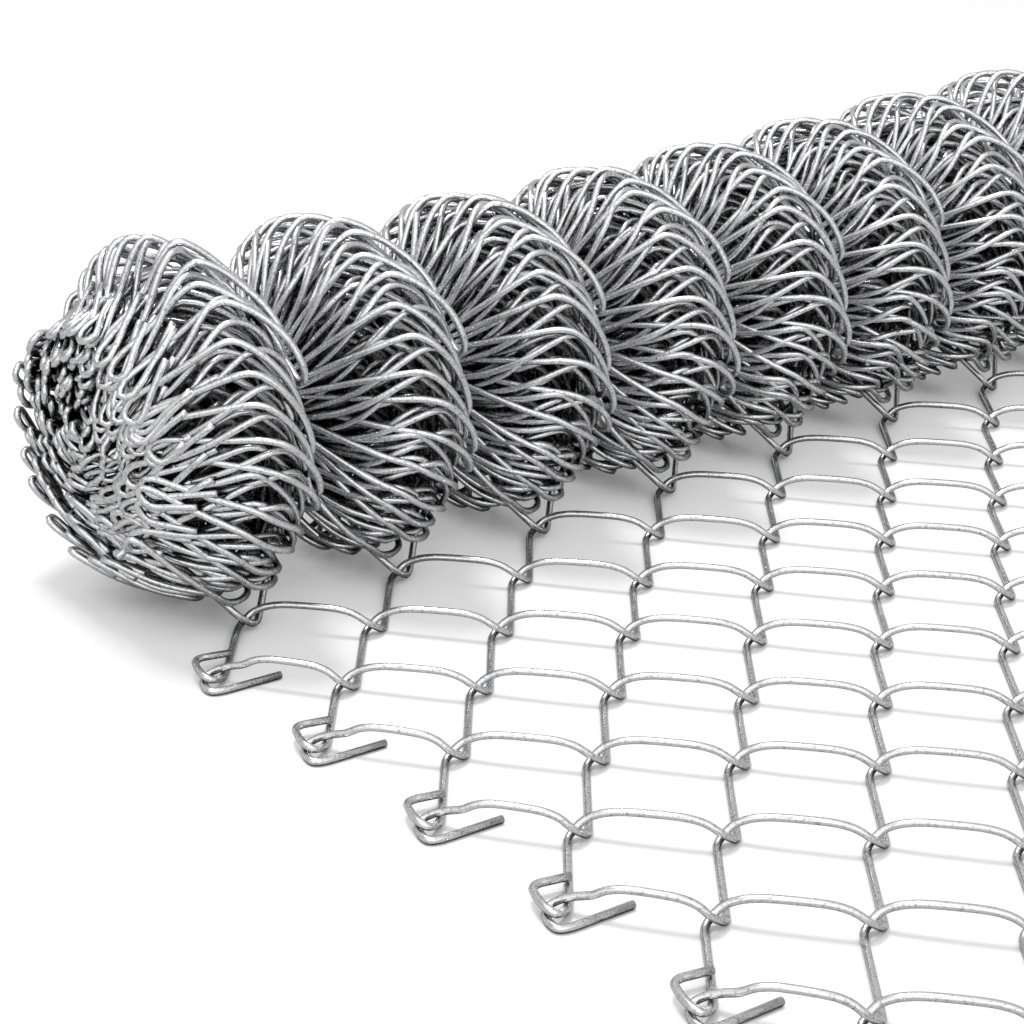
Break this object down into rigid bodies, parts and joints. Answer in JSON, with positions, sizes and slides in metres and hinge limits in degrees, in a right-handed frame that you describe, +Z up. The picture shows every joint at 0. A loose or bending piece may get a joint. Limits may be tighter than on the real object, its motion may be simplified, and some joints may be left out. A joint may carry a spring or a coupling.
{
  "type": "partly unrolled chain link mesh roll",
  "caption": "Roll of knuckled chain link fence mesh lying on the ground, its free end unrolled flat in front of it.",
  "frame": {"origin": "on the ground, under the middle of the part's bounding box", "axes": "+X along the roll and the mesh wires, the free end of the mesh towards -Y, +Z up"},
  "size_m": [0.8054, 0.52, 0.1381],
  "materials": {
    "galvanised_wire": "galvanised"
  },
  "bodies": {
    "root": {"flat_wire_01": "galvanised_wire", "flat_wire_02": "galvanised_wire", "flat_wire_03": "galvanised_wire", "flat_wire_04": "galvanised_wire", "flat_wire_05": "galvanised_wire", "flat_wire_06": "galvanised_wire", "flat_wire_07": "galvanised_wire", "flat_wire_08": "galvanised_wire", "flat_wire_09": "galvanised_wire", "flat_wire_10": "galvanised_wire", "flat_wire_11": "galvanised_wire", "flat_wire_12": "galvanised_wire", "flat_wire_13": "galvanised_wire", "roll_nest_01": "galvanised_wire", "roll_nest_02": "galvanised_wire", "roll_nest_03": "galvanised_wire", "roll_nest_04": "galvanised_wire", "roll_nest_05": "galvanised_wire", "roll_nest_06": "galvanised_wire", "roll_nest_07": "galvanised_wire", "roll_nest_08": "galvanised_wire", "roll_nest_09": "galvanised_wire", "roll_nest_10": "galvanised_wire", "roll_nest_11": "galvanised_wire", "roll_nest_12": "galvanised_wire", "roll_nest_13": "galvanised_wire", "roll_nest_14": "galvanised_wire", "roll_nest_15": "galvanised_wire", "roll_nest_16": "galvanised_wire", "roll_nest_17": "galvanised_wire", "roll_nest_18": "galvanised_wire", "roll_nest_19": "galvanised_wire", "roll_nest_20": "galvanised_wire", "roll_nest_21": "galvanised_wire", "roll_nest_22": "galvanised_wire", "roll_nest_23": "galvanised_wire"}
  },
  "joints": []
}
